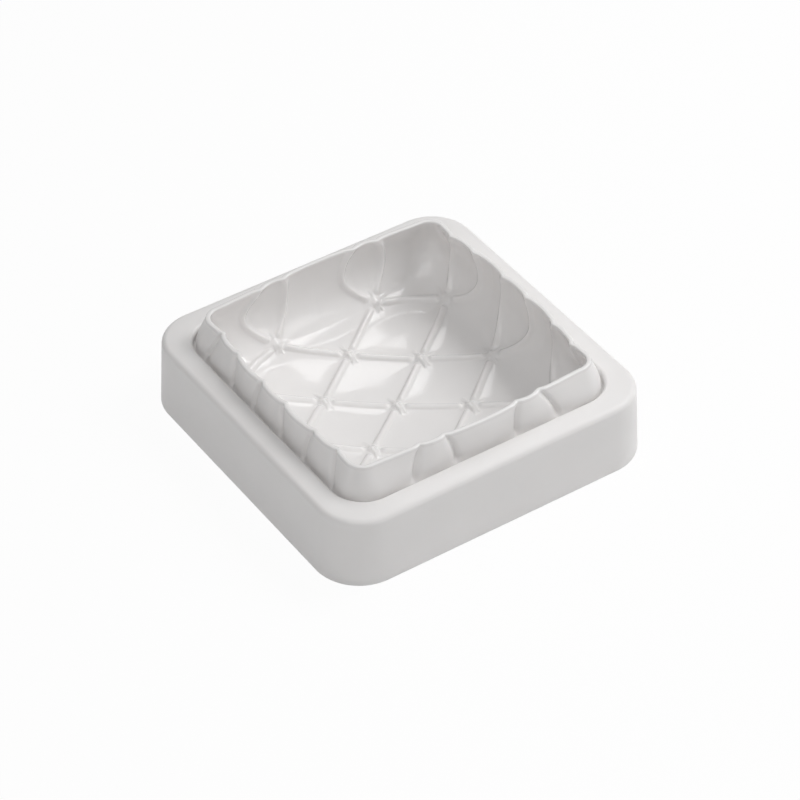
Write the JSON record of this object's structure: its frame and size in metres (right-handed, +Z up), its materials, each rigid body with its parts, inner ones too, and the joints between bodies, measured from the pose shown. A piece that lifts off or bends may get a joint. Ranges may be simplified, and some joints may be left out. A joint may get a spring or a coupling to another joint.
{
  "type": "silicone cake mould",
  "caption": "Square silicone cake mould: a skirt with a flat ledge carries a thin basin with a scalloped rim and a tufted cushion pattern inside.",
  "frame": {"origin": "middle of the foot's plane, where the mould stands on the table", "axes": "+Z up, out of the basin's mouth; the foot's sides run along X and Y; the basin's walls that face -Y and +Y carry two pairs of pleats each, and the walls that face -X and +X three pairs"},
  "size_m": [0.2, 0.2, 0.0575],
  "materials": {
    "silicone": "satin"
  },
  "bodies": {
    "root": {"mould": "silicone"}
  },
  "joints": []
}
